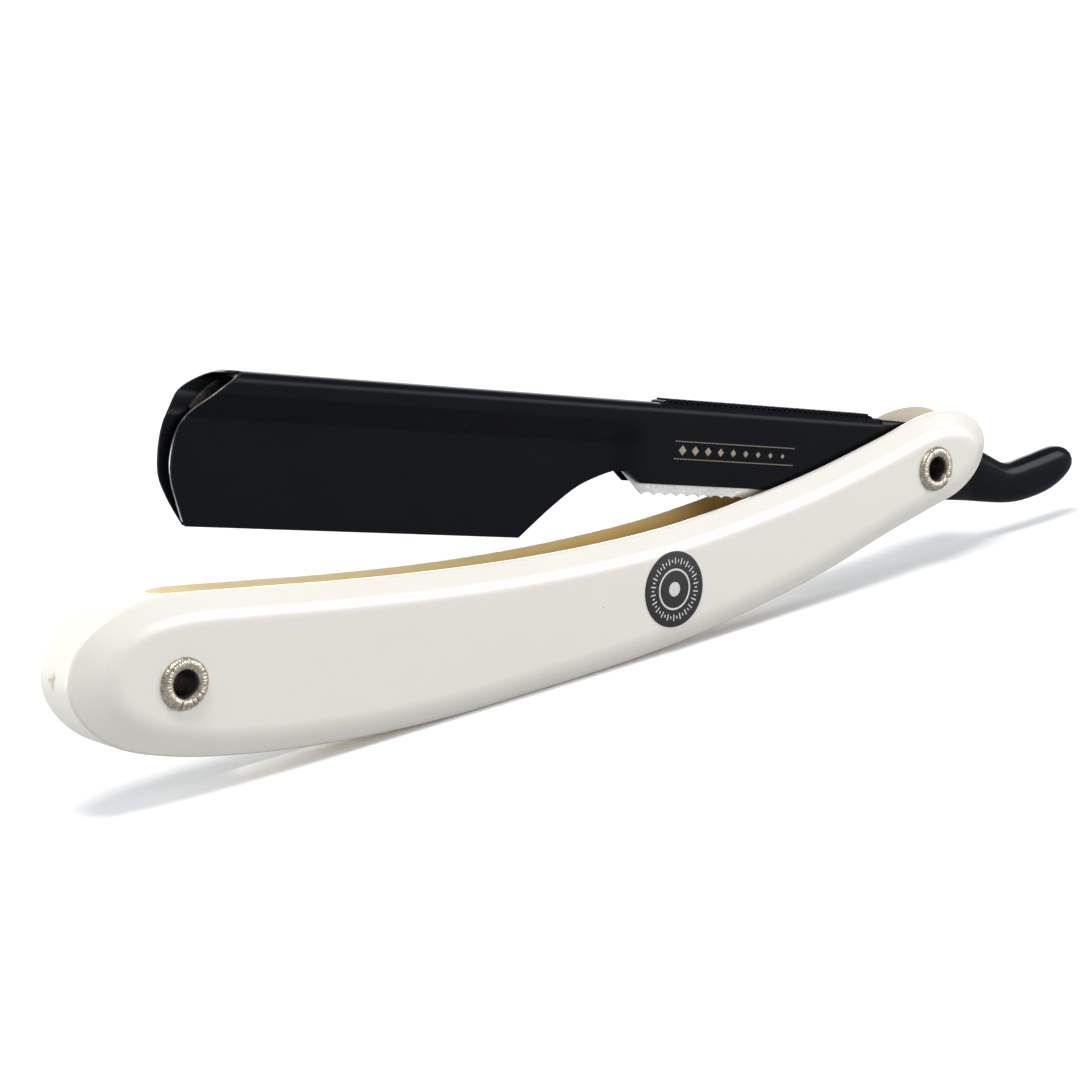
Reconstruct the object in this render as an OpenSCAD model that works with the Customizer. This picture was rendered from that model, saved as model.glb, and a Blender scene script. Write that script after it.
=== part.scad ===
// Straight razor of the shavette kind: a forked plastic handle, a folding
// steel arm with a folded-sheet blade holder, and a push-out blade carrier.
// Row frame: origin on the pivot axis at mid-thickness, +Y along the pivot
// axis, +X from the wedge eyelet towards the tail, +Z towards the spine.

/* [Handle] */
// Distance between the pivot and the wedge eyelet
eyelet_span = 125; // [120:0.5:135]
// Thickness of the handle at the wedge
handle_t = 9.4; // [8.8:0.1:11.5]
// Depth of the bevel that runs round each face
bevel_depth = 1.7; // [1:0.1:2]
// Width of the bevel along the long edges
bevel_side = 2.6; // [1.5:0.1:3.2]
// Width of the bevel at the wedge end
bevel_wedge_end = 5.6; // [3:0.1:6.8]
// Width of the bevel at the pivot end
bevel_pivot_end = 3.4; // [2:0.1:4]

/* [Arm] */
// Angle that the arm's spine stands above the eyelet line at rest
open_angle = 13.8; // [8:0.1:16]
// Thickness of the arm at the spine and at the pivot
arm_t = 4; // [3.2:0.1:4.1]
// Thickness of the folded sheet of the holder
sheet_t = 0.35; // [0.25:0.05:0.45]
// Room for a blade between the leaves of the blade part
blade_gap = 0.2; // [0.1:0.05:0.4]
// Height of the spine's top above the pivot axis
spine_z = 6.15; // [5.5:0.05:7]
// Height of the holder from its spine to its lower edge
holder_h = 18.3; // [15:0.1:20]
// Thickness of the tail
tail_t = 3.2; // [2.4:0.1:3.8]
// Length of the jimped strip on top of the shank
jimp_len = 40; // [30:1:46]
// Height that the jimped strip stands above the spine
jimp_rise = 0.6; // [0.4:0.05:1]
// Spacing of the jimps
jimp_pitch = 1; // [0.8:0.1:1.6]

/* [Blade carrier] */
// Thickness of the carrier's sheet
carrier_t = 0.3; // [0.2:0.05:0.35]
// Length of the thumb tab
tab_len = 22; // [16:0.5:24]
// Depth of the thumb tab below the shank
tab_drop = 1.45; // [1:0.05:2]
// Travel that the carrier is pushed out by
carrier_travel = 1.5; // [0.5:0.1:1.5]
// Spacing of the serrations on the thumb tab
tab_pitch = 2; // [1.4:0.1:2.6]

/* [Eyelets] */
// Inner radius of both tubular eyelets
eyelet_bore_r = 1.6; // [1.3:0.05:1.8]
// Wall of the eyelet barrels
eyelet_wall = 0.4; // [0.3:0.05:0.5]
// Radius of the eyelet flanges
eyelet_flange_r = 3.15; // [2.8:0.05:3.4]
// Height that a rolled flange stands above the handle
eyelet_rise = 0.7; // [0.5:0.05:0.9]
// Thickness of each pivot washer
washer_t = 0.9; // [0.6:0.05:1]
// Radius of the pivot washers
washer_r = 4; // [3.2:0.1:4.8]

/* [Badge] */
// Radius of the round badge
badge_r = 5; // [4:0.1:5.2]
// Height that the badge stands above the handle's face
badge_rise = 0.12; // [0.08:0.02:0.2]

/* [Fits] */
// Clearance between the arm and each wall of the slot at its closed end
slot_clearance = 0.3; // [0.2:0.05:0.5]
// Radial clearance between an eyelet barrel and the tang's pivot hole
pivot_clearance = 0.05; // [0.03:0.01:0.08]
// Clearance between sheets and faces that slide on each other
slide_clearance = 0.05; // [0.03:0.01:0.08]
// Clearance of pieces that are held in place
seat_clearance = 0.02; // [0.01:0.01:0.04]

/* [Hidden] */
$fn = 64;
over = 1;                 // how far a cut runs past the face that it opens
curve_steps = 4;          // points that a curve gets between two of its keys

barrel_r = eyelet_bore_r + eyelet_wall;
half_arm = arm_t / 2;
slot_w = arm_t + 2 * slot_clearance;
pivot_gap = half_arm + washer_t + slide_clearance;   // slot's half-width at the pivot
splay = pivot_gap - slot_w / 2;                      // how far each scale is spread there
wedge_x = -eyelet_span;
stretch = eyelet_span / 125;         // how much longer the handle is than its keys say
splay_from = -100 * stretch;         // where the scales begin to spread
splay_to = -52 * stretch;            // where they run parallel again

// Handle outline, from the wedge tip to the pivot tip: top edge, then bottom
// edge, with the same number of keys. Those between the eyelets are stretched.
tip_left = [wedge_x - 14.2, 2.4];
tip_right = [12.3, 1.4];
top_between = [[-113, 8.4], [-100, 6.3], [-87, 4.5], [-74, 3.1], [-61, 2.2], [-48, 1.9],
               [-35, 2.5], [-22, 3.7], [-9, 5.7]];
bottom_between = [[-113, -11.7], [-100, -13.4], [-87, -14.3], [-74, -14.4], [-61, -14.3],
                  [-48, -13.8], [-35, -12.5], [-22, -10.6], [-9, -7.8]];
top_keys = concat([[wedge_x - 12.4, 6.6], [wedge_x - 8.2, 9.2], [wedge_x - 1, 10.3]],
                  stretched(top_between), [[0.5, 7.35], [7, 6.7], [11, 4.4]]);
bottom_keys = concat([[wedge_x - 12.6, -2.2], [wedge_x - 8, -6.2], [wedge_x + 0.5, -9.3]],
                     stretched(bottom_between), [[0.5, -6], [6.4, -4.8], [10.6, -2.2]]);

// Slot's closed end, seen from the side: it slants past the wedge eyelet.
eyelet_wall_left = 0.7;   // plastic left between the slot and the eyelet
slot_end = [[wedge_x - 0.9, 9.6], [wedge_x - 0.5, 5.4],
            [wedge_x + barrel_r + eyelet_wall_left - 0.4, 1.8],
            [wedge_x + barrel_r + eyelet_wall_left + 2.8, -1.5]];

badge_at = [-50.2 * stretch, -5.9];

// Arm outlines, in the arm's own frame: its spine lies along X.
holder_bottom = spine_z - holder_h;
shank_z = -4.4;           // lower edge of the shank's leaves
shell_end = -8;           // where the shell stops on the tang
leaf_half = sheet_t + slide_clearance + carrier_t + blade_gap / 2;
strip_end = shell_end - 1;
strip_from = strip_end - jimp_len;
strip_half = half_arm - sheet_t - carrier_t - 3 * slide_clearance;
flare_to = strip_from - 2;           // where the leaves run parallel
flare_from = flare_to - 7;           // where they begin to part
flare_lag = carrier_travel + 0.3;    // the carrier flares this much later, so that it can slide
tab_from = strip_from - 2;           // the thumb tab's front corner
tab_to = tab_from + tab_len;
core_front = tab_to + 3;  // where the tang fills the shell, clear of the carrier
front_x = wedge_x - 5;    // in front of the whole arm
parting_y = -0.4;         // where the near leaf's toe gives way to the far leaf's
parting_lap = 0.05;       // how far the two leaves' cuts pass each other in the hollow

// The toe's keys are measured from the wedge eyelet, the heel's from the strip.
toe_far = lowered(moved(wedge_x, [
    [8.8, spine_z], [6.8, 5.4], [4.1, 3.9], [2.25, 1.8], [1.25, 0.1], [0.8, -2.2],
    [0.8, -4.75], [1.2, -6.8], [2.3, -8.75], [3.6, -10.5], [5, -12.15]]));
toe_near = lowered(moved(wedge_x, [
    [10.2, spine_z], [8.8, 5.2], [6.8, 3.7], [5.1, 2.3], [3.9, 1.1], [2.7, -0.5],
    [2, -2.5], [1.8, -5], [2.3, -7.3], [3.3, -9.6], [4.5, -12.15]]));
heel = lowered(moved(strip_from, [
    [-21.6, -12.15], [-16.7, -8.1], [-12.3, -5.1], [-7.2, -3.1]]));
carrier_heel = lowered(moved(strip_from, [
    [-21.8, -11.65], [-17, -7.6], [-12.5, -4.7], [-7.2, -2.7], [-5.7, -3.6], [-4.5, -3.7],
    [-2.6, -5]]));

tail_top = [[0, spine_z - 0.2], [8, 4.9], [14.9, 2.6], [20.5, 1.1], [25.2, 2.5], [30.6, 4.1]];
tail_tip = [[33.9, 3.5], [34.9, 2], [34, 0.3]];
tail_bottom = [[31.7, -1.6], [28.2, -3.2], [22, -4.6], [12, -4.65], [0, -4.6]];

// --- Functions ---

// Catmull-Rom point between keys b and c.
function blend(a, b, c, d, t) =
    0.5 * (2 * b + (c - a) * t + (2 * a - 5 * b + 4 * c - d) * t * t
           + (3 * b - a - 3 * c + d) * t * t * t);

// A smooth open curve through its keys.
function curve(k) = [
    for (i = [0 : len(k) - 2], s = [0 : curve_steps - 1])
        blend(k[max(i - 1, 0)], k[i], k[i + 1], k[min(i + 2, len(k) - 1)], s / curve_steps),
    k[len(k) - 1]
];

// A smooth closed curve through its keys.
function loop(k) = [
    for (i = [0 : len(k) - 1], s = [0 : curve_steps - 1])
        blend(k[(i + len(k) - 1) % len(k)], k[i], k[(i + 1) % len(k)],
              k[(i + 2) % len(k)], s / curve_steps)
];

// Keys scaled along X to suit the distance between the eyelets.
function stretched(k) = [for (p = k) [p[0] * stretch, p[1]]];

// Keys moved along X.
function moved(x, k) = [for (p = k) [x + p[0], p[1]]];

// Keys below the shank scaled along Z, from a holder that ends at z = -12.15.
function lowered(k) = [for (p = k)
    [p[0], p[1] < shank_z ? shank_z + (p[1] - shank_z) * (holder_bottom - shank_z)
                                      / (-12.15 - shank_z)
                          : p[1]]];

function reversed(k) = [for (i = [len(k) - 1 : -1 : 0]) k[i]];
function unit(v) = v / norm(v);
function ease(t) = let (c = min(max(t, 0), 1)) c * c * (3 - 2 * c);

// How far the scales are spread at x.
function spread(x) = splay * ease((x - splay_from) / (splay_to - splay_from));

// Outward direction of a clockwise outline at point i.
function outward(k, i) =
    let (n = len(k), d = unit(k[(i + 1) % n] - k[(i + n - 1) % n])) [-d[1], d[0]];

// Bevel width where the outline faces n.
function bevel_width(n) =
    bevel_side + (n[0] < 0 ? bevel_wedge_end - bevel_side : bevel_pivot_end - bevel_side)
                 * n[0] * n[0];

outline = loop(concat([tip_left], top_keys, [tip_right], reversed(bottom_keys)));
face_outline = [for (i = [0 : len(outline) - 1])
    let (n = outward(outline, i)) outline[i] - n * bevel_width(n)];

// One ring of the handle at a distance y from mid-thickness, on side -1 or 1.
function ring(k, y, side) = [for (p = k) [p[0], side * (y + spread(p[0])), p[1]]];

// --- Handle ---

// The handle's solid body: flat faces, a bevel round each and a straight rim.
module handle_body() {
    n = len(outline);
    rings = [ring(face_outline, handle_t / 2, -1),
             ring(outline, handle_t / 2 - bevel_depth, -1),
             ring(outline, handle_t / 2 - bevel_depth, 1),
             ring(face_outline, handle_t / 2, 1)];
    points = [for (r = rings) each r];
    sides = [for (r = [0 : 2], i = [0 : n - 1])
        [r * n + i, r * n + (i + 1) % n, (r + 1) * n + (i + 1) % n, (r + 1) * n + i]];
    half = n / 2;
    // each face is closed by strips between its top and its bottom edge
    near = [for (i = [0 : half - 1])
        i == 0 ? [1, 0, n - 1]
        : i == half - 1 ? [half, half - 1, half + 1]
        : [i + 1, i, n - i, n - i - 1]];
    far = [for (f = near) [for (v = reversed(f)) v + 3 * n]];
    polyhedron(points, concat(sides, near, far), convexity = 6);
}

// The slot, as wide as the spread scales leave it, seen from above.
module slot() {
    xs = [for (i = [0 : 8]) splay_from + (splay_to - splay_from) * i / 8];
    edge = concat([[wedge_x - 3, slot_w / 2]], [for (x = xs) [x, slot_w / 2 + spread(x)]],
                  [[20, pivot_gap]]);
    intersection() {
        translate([0, 0, -20])
            linear_extrude(40)
                polygon(concat(edge, [for (p = reversed(edge)) [p[0], -p[1]]]));
        side_plate(4 * slot_w)
            polygon(concat([[slot_end[0][0], 18]], slot_end,
                           [[slot_end[3][0], -18], [18, -18], [18, 18]]));
    }
}

// Extrudes a side view by t, centred on mid-thickness.
module side_plate(t) {
    rotate([90, 0, 0]) linear_extrude(t, center = true) children();
}

// A cylinder along the pivot axis, centred on mid-thickness.
module cross_cylinder(r, t) {
    rotate([90, 0, 0]) cylinder(r = r, h = t, center = true);
}

module handle() {
    color("ivory")
        difference() {
            handle_body();
            slot();
            cross_cylinder(barrel_r + seat_clearance, 3 * handle_t);
            translate([wedge_x, 0, 0])
                cross_cylinder(barrel_r + seat_clearance, 3 * handle_t);
        }
}

module badge() {
    face_y = handle_t / 2 + spread(badge_at[0]);
    color([0.09, 0.09, 0.1])
        translate([badge_at[0], -face_y, badge_at[1]])
            rotate([90, 0, 0]) cylinder(r = badge_r, h = badge_rise);
}

// --- Eyelets and washers ---

// A tubular eyelet with both ends rolled over faces that are grip apart.
module eyelet(grip) {
    lip = (eyelet_flange_r - eyelet_bore_r) / 2;      // half-width of the rolled rim
    rim_arc = [for (a = [0 : 15 : 180])
        [eyelet_bore_r + lip - lip * cos(a), grip / 2 + eyelet_rise * sin(a)]];
    rotate([90, 0, 0])
        rotate_extrude()
            polygon(concat(rim_arc,
                           [[barrel_r, grip / 2], [barrel_r, -grip / 2]],
                           [for (p = reversed(rim_arc)) [p[0], -p[1]]]));
}

module wedge_eyelet() {
    color("tan") translate([wedge_x, 0, 0]) eyelet(handle_t);
}

module pivot_eyelet() {
    color("tan") eyelet(handle_t + 2 * splay);
}

module pivot_washer(side) {
    color("silver")
        translate([0, side * (pivot_gap - washer_t / 2), 0])
            difference() {
                cross_cylinder(washer_r, washer_t);
                cross_cylinder(barrel_r + seat_clearance, washer_t + over);
            }
}

module near_washer() {
    pivot_washer(-1);
}

module far_washer() {
    pivot_washer(1);
}

// --- Arm ---

// Half of the arm's cross-section as [y, z], from the spine's top down.
// parted is 0 for the closed leaves and 1 for the parallel shank; inset is
// the distance inwards from the shell's outer skin.
function half_section(parted, inset) =
    let (
        corner = 1.3 - inset,
        w = half_arm - inset,
        leaf = leaf_half - inset,
        low = leaf + (w - leaf) * parted,
        arc_z = spine_z - 1.3
    )
    concat(
        [for (a = [90 : -22.5 : 0]) [w - corner + corner * cos(a), arc_z + corner * sin(a)]],
        [for (s = [0 : 4]) [w + (low - w) * ease(s / 4), 3.6 - 3.2 * s / 4]],
        [[low, holder_bottom - over]]
    );

function full_section(parted, inset) =
    let (h = half_section(parted, inset)) concat(h, [for (p = reversed(h)) [-p[0], p[1]]]);

// A solid through cross-sections at stations [x, parted].
module arm_loft(stations, inset) {
    n = len(full_section(0, inset));
    points = [for (s = stations, p = full_section(s[1], inset)) [s[0], p[0], p[1]]];
    last = (len(stations) - 1) * n;
    sides = [for (r = [0 : len(stations) - 2], i = [0 : n - 1])
        [r * n + i, r * n + (i + 1) % n, (r + 1) * n + (i + 1) % n, (r + 1) * n + i]];
    // each end is closed by strips across the section
    front = [for (i = [0 : n / 2 - 2]) [n - 1 - i, n - 2 - i, i + 1, i]];
    back = [for (f = front) [for (v = reversed(f)) v + last]];
    polyhedron(points, concat(front, sides, back), convexity = 6);
}

function arm_stations(from, to, shift) = concat(
    [[from, 0]],
    [for (s = [0 : 6]) [flare_from + shift + (flare_to - flare_from) * s / 6, ease(s / 6)]],
    [[to, 1]]);

module in_arm_frame() {
    rotate([0, open_angle, 0]) children();
}

module shell_outline() {
    polygon(concat([[front_x + over, spine_z + over], [front_x + over, holder_bottom]],
                   curve(heel),
                   [[strip_from - 5.2, -3], [strip_from - 2.9, shank_z],
                    [shell_end, shank_z], [shell_end, spine_z + over]]));
}

// What a leaf's toe is cut back by.
module toe_cut(keys) {
    last = keys[len(keys) - 1];
    polygon(concat(curve(keys), [[last[0], holder_bottom - over],
                                 [front_x - over, holder_bottom - over],
                                 [front_x - over, spine_z + 2 * over],
                                 [keys[0][0], spine_z + 2 * over]]));
}

module holder_shell() {
    color([0.08, 0.09, 0.1]) in_arm_frame()
        difference() {
            intersection() {
                arm_loft(arm_stations(front_x, shell_end + over, 0), 0);
                side_plate(2 * arm_t) shell_outline();
            }
            arm_loft(arm_stations(front_x - over, shell_end + 2 * over, 0), sheet_t);
            translate([0, parting_y - arm_t, 0]) side_plate(2 * arm_t) toe_cut(toe_near);
            translate([0, parting_y - parting_lap + arm_t, 0])
                side_plate(2 * arm_t) toe_cut(toe_far);
            translate([0, 0, spine_z])
                side_plate(2 * (strip_half + slide_clearance))
                    translate([strip_from - slide_clearance, -1])
                        square([shell_end - strip_from + over, 2]);
        }
}

// Jimped strip: its ends are rounded and its top is cut across.
module strip_outline() {
    top = spine_z + jimp_rise;
    to = strip_end;
    teeth = floor((to - strip_from - 2) / jimp_pitch);
    cut = 0.2;
    polygon(concat(
        [[strip_from, shank_z + 1], [strip_from, top - 0.8]],
        [for (a = [160 : -20 : 100]) [strip_from + 0.8 + 0.8 * cos(a), top - 0.8 + 0.8 * sin(a)]],
        [for (i = [0 : teeth - 1], s = [0, 0.6, 0.8])
            [strip_from + 1 + (i + s) * jimp_pitch, s == 0.8 ? top - cut : top]],
        [[to - 0.8, top]],
        [for (a = [80 : -20 : 20]) [to - 0.8 + 0.8 * cos(a), top - 0.8 + 0.8 * sin(a)]],
        [[to, top - 0.8], [to, shank_z + 1]]));
}

module tang() {
    color([0.08, 0.09, 0.1]) in_arm_frame()
        difference() {
            union() {
                side_plate(2 * strip_half) strip_outline();
                side_plate(arm_t - 2 * sheet_t - 2 * seat_clearance)
                    polygon([[core_front, shank_z + 0.3], [core_front, spine_z - sheet_t - 1],
                             [0, spine_z - sheet_t - 1], [0, shank_z + 0.3]]);
                side_plate(arm_t)
                    polygon(concat([[shell_end + seat_clearance, spine_z]],
                                   [[-1, spine_z], [6, 5.2], [6, shank_z - 0.2],
                                    [shell_end + seat_clearance, shank_z]]));
                side_plate(tail_t)
                    polygon(concat(curve(concat(tail_top, tail_tip, tail_bottom))));
            }
            cross_cylinder(barrel_r + pivot_clearance, 2 * arm_t);
        }
}

// --- Blade carrier ---

module carrier_outline() {
    lift = 0.5;                                   // the leaves' edge above the shell's edge
    near_toe = [for (p = curve(toe_near)) [p[0], max(p[1], holder_bottom + lift)]];
    tab_z = shank_z - tab_drop;
    teeth = floor((tab_to - tab_from) / tab_pitch);
    polygon(concat(
        near_toe, carrier_heel,
        [for (i = [0 : teeth - 1], s = [0 : 0.25 : 0.75])
            [tab_from + (i + s) * tab_pitch, tab_z + 0.22 * sin(180 * s)]],
        [[tab_to, tab_z], [tab_to, 3], [strip_from - 11, 3],
         [strip_from - 13, spine_z + over], [toe_near[0][0], spine_z + over]]));
}

module blade_carrier() {
    outer = sheet_t + slide_clearance;
    color([0.75, 0.75, 0.73]) in_arm_frame() {
        difference() {
            intersection() {
                arm_loft(arm_stations(front_x, tab_to + over, flare_lag), outer);
                side_plate(2 * arm_t) carrier_outline();
            }
            arm_loft(arm_stations(front_x - over, tab_to + 2 * over, flare_lag),
                     outer + carrier_t);
        }
    }
}

handle();
badge();
wedge_eyelet();
pivot_eyelet();
near_washer();
far_washer();
holder_shell();
tang();
blade_carrier();
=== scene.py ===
"""Straight razor of the shavette kind: its pieces, finishes, lights and camera.

Lengths are in millimetres until a mesh is made, and meshes are in metres.
X runs from the wedge eyelet towards the tail, Y along the pivot, Z up.
"""
import math

import bmesh
import bpy
from mathutils import Matrix, Vector


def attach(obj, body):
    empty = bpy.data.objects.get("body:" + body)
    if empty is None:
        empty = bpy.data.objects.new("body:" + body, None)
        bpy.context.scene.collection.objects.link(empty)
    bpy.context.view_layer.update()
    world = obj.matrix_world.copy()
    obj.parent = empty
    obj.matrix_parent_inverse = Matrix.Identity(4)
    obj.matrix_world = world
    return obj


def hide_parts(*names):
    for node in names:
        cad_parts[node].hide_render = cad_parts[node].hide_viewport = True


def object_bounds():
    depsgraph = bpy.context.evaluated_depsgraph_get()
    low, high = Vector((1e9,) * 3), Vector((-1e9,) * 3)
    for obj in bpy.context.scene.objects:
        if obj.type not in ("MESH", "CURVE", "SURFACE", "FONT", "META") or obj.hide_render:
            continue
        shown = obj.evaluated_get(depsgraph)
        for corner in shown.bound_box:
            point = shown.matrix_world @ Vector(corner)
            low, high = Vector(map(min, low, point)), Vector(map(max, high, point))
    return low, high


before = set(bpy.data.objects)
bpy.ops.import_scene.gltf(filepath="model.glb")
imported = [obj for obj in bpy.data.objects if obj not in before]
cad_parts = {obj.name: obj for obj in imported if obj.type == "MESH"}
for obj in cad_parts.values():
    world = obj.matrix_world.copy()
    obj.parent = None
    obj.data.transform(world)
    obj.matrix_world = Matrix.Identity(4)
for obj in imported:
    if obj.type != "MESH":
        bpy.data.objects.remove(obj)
cad_low, cad_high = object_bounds()

MM = 0.001

# --- Sizes of the razor, in millimetres ---

WEDGE_X = -125.0          # wedge eyelet, from the pivot
HANDLE_HALF = 4.7         # half of the handle's thickness at the wedge
BEVEL_DEPTH = 1.7
BEVEL_SIDE, BEVEL_WEDGE, BEVEL_PIVOT = 2.6, 5.6, 3.4
SLOT_HALF = 2.3           # half of the slot's width at its closed end
SLOT_ROUND = 3.6          # how far the slot's walls close in at that end
PIVOT_GAP = 2.95          # half of the slot's width at the pivot
SPLAY_FROM, SPLAY_TO = -100.0, -52.0
SPLAY = PIVOT_GAP - SLOT_HALF

BORE_R, BARREL_R = 1.6, 2.0
SEAT_GAP, PIVOT_CLEARANCE = 0.02, 0.05
FLANGE_R, FLANGE_RISE = 3.15, 0.7

BADGE_X, BADGE_Z, BADGE_R, BADGE_RISE = -50.2, -5.9, 5.0, 0.12

OPEN_ANGLE = math.radians(13.8)
HALF_ARM = 2.0
SPINE_CORNER = 1.3
SHEET = 0.35
CARRIER_SHEET = 0.3
CARRIER_INSET = 0.4
LEAF_HALF = 0.8
SPINE_Z = 6.15
HOLDER_BOTTOM = -12.15
SHANK_Z = -4.4
SHELL_END = -8.0
PARTING_Y = -0.4          # where the near leaf's toe gives way to the far leaf's
FLARE_FROM, FLARE_TO, FLARE_LAG = -58.0, -51.0, 1.8
STRIP_FROM, STRIP_HALF, STRIP_RISE = -49.0, 1.2, 0.6
TAB_FROM, TAB_TO, TAB_DROP, TAB_PITCH = -51.0, -29.0, 1.45, 2.0

TIP_LEFT, TIP_RIGHT = (-139.2, 2.4), (12.3, 1.4)
TOP_KEYS = [(-137.4, 6.6), (-133.2, 9.2), (-126, 10.3), (-113, 8.4), (-100, 6.3),
            (-87, 4.5), (-74, 3.1), (-61, 2.2), (-48, 1.9), (-35, 2.5), (-22, 3.7),
            (-9, 5.7), (0.5, 7.35), (7, 6.7), (11, 4.4)]
BOTTOM_KEYS = [(-137.6, -2.2), (-133, -6.2), (-124.5, -9.3), (-113, -11.7),
               (-100, -13.4), (-87, -14.3), (-74, -14.4), (-61, -14.3), (-48, -13.8),
               (-35, -12.5), (-22, -10.6), (-9, -7.8), (0.5, -6), (6.4, -4.8),
               (10.6, -2.2)]
SLOT_END = [(-125.7, 9.6), (-125.3, 5.4), (-122.7, 1.8), (-119.5, -1.5)]

TOE_FAR = [(-116.2, SPINE_Z), (-118.2, 5.4), (-120.9, 3.9), (-122.75, 1.8), (-123.75, 0.1),
           (-124.2, -2.2), (-124.2, -4.75), (-123.8, -6.8), (-122.7, -8.75), (-121.4, -10.5),
           (-120, HOLDER_BOTTOM)]
TOE_NEAR = [(-114.8, SPINE_Z), (-116.2, 5.2), (-118.2, 3.7), (-119.9, 2.3), (-121.1, 1.1),
            (-122.3, -0.5), (-123, -2.5), (-123.2, -5), (-122.7, -7.3), (-121.7, -9.6),
            (-120.5, HOLDER_BOTTOM)]
HEEL = [(-70.6, HOLDER_BOTTOM), (-65.7, -8.1), (-61.3, -5.1), (-56.2, -3.1)]
TAIL_HALF = 1.6
RING_AT, DOT_R, TICKS_AT, TICKS = 2.6, 0.95, 3.75, 44
GATE_X = -139.12
TAIL_TOP = [(-8, 6.15), (-4, 6.12), (0, 5.9), (6, 5.1), (12, 3.6), (16.5, 2.1),
            (20.5, 1.15), (25.2, 2.4), (30.6, 4.05), (33.6, 3.7), (34.9, 2)]
TAIL_BOTTOM = [(-8, -4.4), (-4, -4.45), (2, -4.6), (12, -4.65), (22, -4.6),
               (28.2, -3.2), (31.7, -1.6), (34, 0.3), (34.9, 2)]


# --- Curves ---

def blend_keys(a, b, c, d, t):
    """The Catmull-Rom point between b and c."""
    return tuple(
        0.5 * (2 * q + (r - p) * t + (2 * p - 5 * q + 4 * r - s) * t * t
               + (3 * q - p - 3 * r + s) * t * t * t)
        for p, q, r, s in zip(a, b, c, d))


def open_curve(keys, steps):
    """A smooth line through its keys."""
    last = len(keys) - 1
    line = [blend_keys(keys[max(i - 1, 0)], keys[i], keys[i + 1],
                       keys[min(i + 2, last)], s / steps)
            for i in range(last) for s in range(steps)]
    return line + [tuple(keys[last])]


def closed_curve(keys, steps):
    """A smooth ring through its keys."""
    n = len(keys)
    return [blend_keys(keys[i - 1], keys[i], keys[(i + 1) % n], keys[(i + 2) % n], s / steps)
            for i in range(n) for s in range(steps)]


def even_points(line, count):
    """count + 1 points spaced evenly along a line."""
    lengths = [0.0]
    for a, b in zip(line, line[1:]):
        lengths.append(lengths[-1] + math.dist(a, b))
    points, k = [], 0
    for i in range(count + 1):
        want = lengths[-1] * i / count
        while k < len(line) - 2 and lengths[k + 1] < want:
            k += 1
        span = lengths[k + 1] - lengths[k]
        t = (want - lengths[k]) / span if span else 0
        points.append(tuple(p + (q - p) * t for p, q in zip(line[k], line[k + 1])))
    return points


def ease(t):
    t = min(max(t, 0.0), 1.0)
    return t * t * (3 - 2 * t)


def spread(x):
    """How far each scale is spread from the handle's middle at x."""
    return SPLAY * ease((x - SPLAY_FROM) / (SPLAY_TO - SPLAY_FROM))


# --- Meshes ---

def new_piece(name, points, faces, *materials):
    mesh = bpy.data.meshes.new(name)
    mesh.from_pydata([Vector(p) * MM for p in points], [], faces)
    for m in materials:
        mesh.materials.append(m)
    obj = bpy.data.objects.new(name, mesh)
    bpy.context.scene.collection.objects.link(obj)
    return obj


def face_outwards(obj):
    bm = bmesh.new()
    bm.from_mesh(obj.data)
    bmesh.ops.remove_doubles(bm, verts=bm.verts, dist=1e-7)
    bmesh.ops.recalc_face_normals(bm, faces=bm.faces)
    bm.to_mesh(obj.data)
    bm.free()
    return obj


def settle(obj):
    """Turns an object's modifiers into its plain mesh."""
    graph = bpy.context.evaluated_depsgraph_get()
    mesh = bpy.data.meshes.new_from_object(obj.evaluated_get(graph))
    mesh.name = obj.name
    obj.modifiers.clear()
    old, obj.data = obj.data, mesh
    bpy.data.meshes.remove(old)
    return obj


def cut(obj, cutter, operation="DIFFERENCE"):
    """Cuts one solid with another, which is then gone."""
    m = obj.modifiers.new("cut", "BOOLEAN")
    m.operation, m.solver, m.object = operation, "EXACT", cutter
    settle(obj)
    bpy.data.objects.remove(cutter)
    return obj


def soften(obj, width, segments=3, angle=35.0, edge_material=-1):
    """Rounds the sharp edges, and shades the flats flat and the rounds round."""
    bm = bmesh.new()
    bm.from_mesh(obj.data)
    bmesh.ops.remove_doubles(bm, verts=bm.verts, dist=2e-6)
    bmesh.ops.dissolve_degenerate(bm, edges=bm.edges, dist=2e-6)
    for f in bm.faces:
        f.smooth = True
    bm.to_mesh(obj.data)
    bm.free()
    b = obj.modifiers.new("rounding", "BEVEL")
    b.width, b.segments = width * MM, segments
    b.limit_method, b.angle_limit = "ANGLE", math.radians(angle)
    b.material = edge_material
    w = obj.modifiers.new("shading", "WEIGHTED_NORMAL")
    w.keep_sharp = False
    return settle(obj)


def ring_faces(rings, n, around=False):
    """The four-sided faces between rings of n points, and back to the first if around."""
    return [(r * n + i, r * n + (i + 1) % n, (r + 1) % rings * n + (i + 1) % n,
             (r + 1) % rings * n + i)
            for r in range(rings if around else rings - 1) for i in range(n)]


def loft(name, rings, *materials):
    """A closed solid through rings of equal count."""
    n = len(rings[0])
    points = [p for r in rings for p in r]
    faces = ring_faces(len(rings), n)
    last = (len(rings) - 1) * n
    faces += [tuple(reversed(range(n))), tuple(range(last, last + n))]
    return face_outwards(new_piece(name, points, faces, *materials))


def plate(name, outline, y_low, y_high, *materials):
    """A side view given a thickness."""
    return loft(name, [[(x, y, z) for x, z in outline] for y in (y_low, y_high)], *materials)


def circle_points(radius, centre_x=0.0, steps=64):
    """The outline of a round hole, seen from the side."""
    return [(centre_x + radius * math.cos(a), radius * math.sin(a))
            for a in (2 * math.pi * k / steps for k in range(steps))]


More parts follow.
